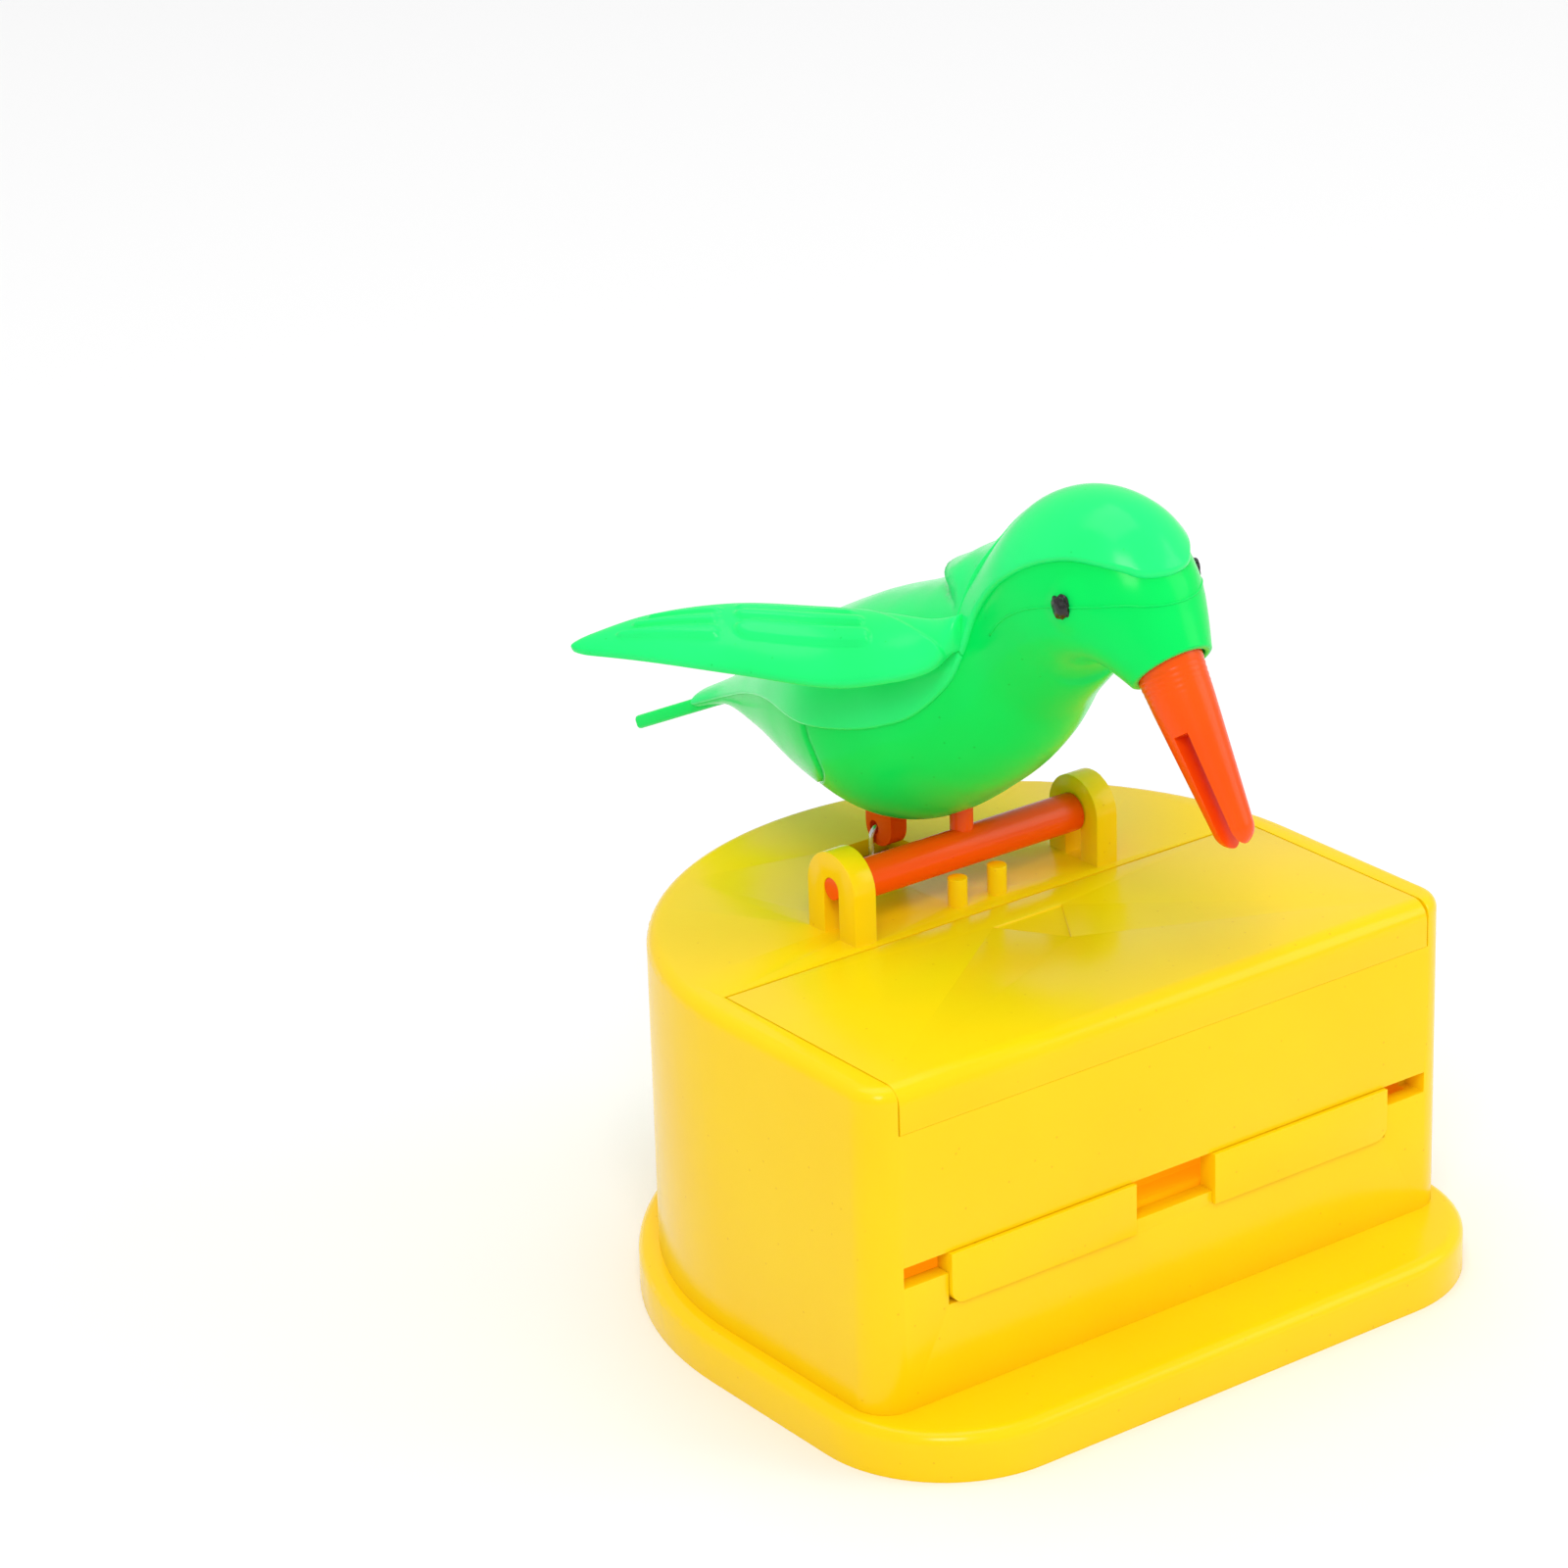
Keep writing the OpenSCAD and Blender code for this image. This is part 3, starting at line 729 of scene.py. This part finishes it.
def beak_horn():
    """Tapered horn along +Z with a domed tip and small creases at its root."""
    sides, rows, dome = 96, 90, 16
    root_r, tip_r = 3.7, 2.2
    rings = [circle(root_r, -3.9, sides)]
    for i in range(rows + 1):
        z = BEAK_LEN * i / rows
        crease = 0.07 * math.sin(z * 5.2) * smooth01((4.2 - z) / 3)
        rings.append(circle(root_r + (tip_r - root_r) * i / rows - abs(crease), z, sides))
    for i in range(1, dome):
        a = math.pi / 2 * i / dome
        rings.append(circle(tip_r * math.cos(a), BEAK_LEN + tip_r * math.sin(a), sides))
    return closed_piece("beak_horn", rings)


def slit_wedge():
    """Wedge that splits the horn from its tip, slightly wider at its start."""
    reach = 6
    ends = [(0.85, 0.4 * BEAK_LEN), (0.75, BEAK_LEN + 4)]
    corners = [(-1, -1), (1, -1), (1, 1), (-1, 1)]
    verts = [(reach * i, half * j, z) for half, z in ends for i, j in corners]
    faces = [(0, 1, 2, 3), (7, 6, 5, 4), (0, 4, 5, 1), (1, 5, 6, 2), (2, 6, 7, 3), (3, 7, 4, 0)]
    cut = new_object("beak_cut", verts, faces, smooth=False)
    fix_normals(cut)
    cut.data.transform(Matrix.Rotation(math.radians(-SLIT_TURN), 4, "Z"))
    return cut


def beak():
    obj = beak_horn()
    cut = slit_wedge()
    boolean = obj.modifiers.new("slit", "BOOLEAN")
    boolean.operation = "DIFFERENCE"
    boolean.object = cut
    boolean.solver = "EXACT"
    apply_modifiers(obj)
    round_edges(obj, 0.18, 3, 40)
    bpy.data.objects.remove(cut)
    lean = Matrix.Rotation(math.radians(180 - BEAK_LEAN), 4, "X")
    place = Matrix.Translation(BEAK_ROOT) @ lean
    obj.data.transform(Matrix.Scale(MM, 4) @ place @ Matrix.Scale(1 / MM, 4))
    shade_with_creases(obj, 35)
    return finish_piece(obj, "bird", "orange", ORANGE, "beak")


def eye(name, side, node):
    """Lumpy bead of paint on the side of the head."""
    bm = bmesh.new()
    bmesh.ops.create_icosphere(bm, subdivisions=5, radius=1.0)
    for v in bm.verts:
        n = v.co.normalized()
        lump = 1 + 0.24 * noise.noise(n * 2.3 + Vector((3.1 * side, 1.7, 0.4)))
        v.co = Vector((n.x * 0.8, n.y * 1.26 * lump, n.z * 1.3 * lump)) * MM
    obj = object_from(bm, name)
    obj.data.shade_smooth()
    lo, hi = (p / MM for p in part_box(node))
    mid = (lo + hi) / 2
    sunk = 0.72
    x = max(abs(lo.x), abs(hi.x)) - sunk
    obj.data.transform(Matrix.Translation(Vector((side * x, mid.y, mid.z)) * MM))
    return finish_piece(obj, "bird", "eye_black", EYE_BLACK, node)


# ---------- box, lid, tray and lever: the frame's own shapes with rounded edges ----------

LARGEST_RADIUS = 1.4


def cleaned_copy(node, name):
    """A new object with the CAD node's mesh, its flat faces joined up."""
    bm = bmesh.new()
    bm.from_mesh(frame["nodes"][node].data)
    bmesh.ops.remove_doubles(bm, verts=bm.verts, dist=2e-6)
    bmesh.ops.dissolve_limit(bm, angle_limit=math.radians(0.4), verts=bm.verts, edges=bm.edges)
    bmesh.ops.recalc_face_normals(bm, faces=bm.faces)
    return object_from(bm, name)


def weigh_edges(mesh, width_of):
    """Gives each edge over 28 degrees the weight that makes its radius width_of its middle."""
    bm = bmesh.new()
    bm.from_mesh(mesh)
    kind = "bevel_weight_edge"
    layer = bm.edges.layers.float.get(kind) or bm.edges.layers.float.new(kind)
    for e in bm.edges:
        if len(e.link_faces) == 2 and e.calc_face_angle(0) > math.radians(28):
            mid = (e.verts[0].co + e.verts[1].co) / 2 / MM
            e[layer] = width_of(mid) / LARGEST_RADIUS
    bm.to_mesh(mesh)
    bm.free()


def rounded_copy(node, name, width_of):
    """A copy of a CAD node's mesh with its edges rounded; width_of gives the radius at an edge."""
    obj = cleaned_copy(node, name)
    weigh_edges(obj.data, width_of)
    bevel = obj.modifiers.new("round", "BEVEL")
    bevel.width = LARGEST_RADIUS * MM
    bevel.segments = 3
    bevel.limit_method = "WEIGHT"
    bevel.use_clamp_overlap = True
    bevel.harden_normals = False
    bevel.miter_outer = "MITER_ARC"
    apply_modifiers(obj)
    shade_with_creases(obj, 32)
    return obj


def box_radius(p):
    """Edge rounding of the box shell: generous on the ears, fine elsewhere."""
    if p.z <= deck_z + 0.4:
        return 0.22
    on_ear = abs(p.x) > 14
    if not on_ear:
        return 0.55
    from_axis = (Vector((0, p.y, p.z)) - Vector((0, perch.y, perch.z))).length
    in_slot = from_axis < 2.2 or abs(p.y - perch.y) < 1.6
    return 0.4 if in_slot else 1.3


def on_arrow(x, y):
    return abs(x) < 7 and -12.5 < y < -3


def lid_radius(p):
    """Edge rounding of the lid: soft on the arrow, nearly sharp under the lip."""
    if p.z < deck_z - 4.5:
        return 0.06
    return 0.3 if on_arrow(p.x, p.y) else 0.2


def settle_lid(obj):
    """Closes the gap under the lip and makes the arrow shallow."""
    for v in obj.data.vertices:
        x, y, z = v.co / MM
        if z < deck_z - 4.9:
            v.co.z -= 0.17 * MM
        elif on_arrow(x, y) and deck_z - 0.5 < z < deck_z - 0.05:
            v.co.z = (deck_z + (z - deck_z) * 0.6) * MM


def box_pieces():
    shell = rounded_copy("box_shell", "box_walls", box_radius)
    finish_piece(shell, "box", "box_yellow", BOX_YELLOW, "box_shell")
    base = rounded_copy("base_plate", "base", lambda p: 0.25)
    finish_piece(base, "box", "box_yellow", BOX_YELLOW, "base_plate")
    tray = rounded_copy("hopper_tray", "tray", lambda p: 0.2)
    finish_piece(tray, "box", "box_yellow", TRAY_YELLOW, "hopper_tray")
    top = rounded_copy("lid", "lid_plate", lid_radius)
    settle_lid(top)
    finish_piece(top, "lid", "lid_yellow", BOX_YELLOW, "lid")
    lever = rounded_copy("perch_lever", "perch", lambda p: 0.25)
    finish_piece(lever, "bird", "orange", ORANGE, "perch_lever")


# ---------- spring ----------

def tube(name, path, radius, sides=12):
    """Round tube along a path, whose rings turn as little as possible."""
    turns = [2 * math.pi * k / sides for k in range(sides)]
    rings = []
    side = None
    for i, p in enumerate(path):
        t = (path[min(len(path) - 1, i + 1)] - path[max(0, i - 1)]).normalized()
        if side is None:
            side = t.cross(Vector((0, 1, 0))).normalized()
        side = (side - t * side.dot(t)).normalized()
        up = t.cross(side)
        rings.append([p + radius * (side * math.cos(a) + up * math.sin(a)) for a in turns])
    return closed_piece(name, rings)


def spring():
    """Loop, coil and hook of one wire."""
    y = (spring_lo.y + spring_hi.y) / 2
    wire = 0.34
    coil = (spring_hi.y - spring_lo.y) / 2 - wire
    low, high, turns = 15.0, 37.0, 22
    steps = 24
    loop = 1.5
    anchor, hook = 10.5, 45.85

    def arc(z, height, degrees):
        angles = [math.radians(d) for d in degrees]
        return [Vector((loop * math.sin(a), y, z + height * math.cos(a))) for a in angles]

    path = arc(anchor - 0.3, -loop * 0.8, range(90, -91, -10))
    for i in range(turns * steps + 1):
        a = 2 * math.pi * i / steps
        z = low + (high - low) * i / (turns * steps)
        path.append(Vector((-coil * math.cos(a), y + coil * math.sin(a), z)))
    path += arc(hook + 0.2 - loop, loop, range(-90, 91, 10))
    obj = tube("spring_wire", path, wire)
    obj.data.materials.append(STEEL)
    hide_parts("return_spring")
    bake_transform(obj)
    return obj


# ---------- stage ----------

def stage():
    bpy.ops.mesh.primitive_plane_add(size=6, location=(0, 0, cad_box[0][2]))
    floor = bpy.context.object
    floor.name = "floor"
    mat, tree, shader, add = node_tools("floor_white")
    shader.inputs["Base Color"].default_value = (0.9, 0.9, 0.9, 1)
    shader.inputs["Roughness"].default_value = 0.7
    floor.data.materials.append(mat)


def area_light(name, where, look_at, size, power, colour=(1, 1, 1)):
    data = bpy.data.lights.new(name, "AREA")
    data.shape = "RECTANGLE"
    data.size, data.size_y = size
    data.energy = power
    data.color = colour
    obj = bpy.data.objects.new(name, data)
    obj.location = where
    obj.rotation_euler = (Vector(look_at) - Vector(where)).to_track_quat("-Z", "Y").to_euler()
    bpy.context.scene.collection.objects.link(obj)


def lights():
    world = bpy.context.scene.world or bpy.data.worlds.new("world")
    bpy.context.scene.world = world
    world.use_nodes = True
    back = next(n for n in world.node_tree.nodes if n.type == "BACKGROUND")
    back.inputs["Color"].default_value = (1, 1, 1, 1)
    back.inputs["Strength"].default_value = 0.62
    middle = (0, 0, 0.05)
    area_light("key", (-0.9, -1.1, 1.5), middle, (0.7, 0.7), 14.0)
    area_light("fill", (1.2, -0.9, 0.8), middle, (0.9, 0.9), 5.0)
    area_light("top", (0.0, 0.3, 2.0), middle, (1.6, 1.6), 14.0)


def camera():
    """Looks at the front and its left side from above, as the dispenser is usually shown."""
    data = bpy.data.cameras.new("camera")
    data.lens = 119.9
    data.sensor_width = 36
    obj = bpy.data.objects.new("camera", data)
    place = Vector((-0.3253, -0.4083, 0.2710))
    forward = Vector((0.5447, 0.7485, -0.3783)).normalized()
    right = Vector((0.8086, -0.5884, 0)).normalized()
    up = right.cross(forward)
    roll = -0.0315
    x = right * math.cos(roll) + up * math.sin(roll)
    y = up * math.cos(roll) - right * math.sin(roll)
    obj.matrix_world = Matrix.Translation(place) @ Matrix((x, y, -forward)).transposed().to_4x4()
    data.clip_start = 0.01
    bpy.context.scene.collection.objects.link(obj)
    bpy.context.scene.camera = obj


camera()
lights()
stage()
body_shell()
mould_line()
brow = first_crossing(SEAM_LINE, 1.0, 3.0)
cap_piece("bird_hood", lambda e: brow, lambda e: hood_end(e) - 0.012, 120, 120, 0.65,
          HOOD_GREEN, "hood_green", "hood")
cap_piece("bird_back", lambda e: hood_end(e) + 0.012, lambda e: LAST, 230, 120, 0.5,
          HOOD_GREEN, "hood_green", "back_wings")
wing("wing_left", -1)
wing("wing_right", 1)
tail()
tail_fork()
beak()
eye("eye_bead_left", -1, "eye_left")
eye("eye_bead_right", 1, "eye_right")
box_pieces()
spring()

scene = bpy.context.scene
scene.view_settings.view_transform = "Standard"
scene.view_settings.look = "None"
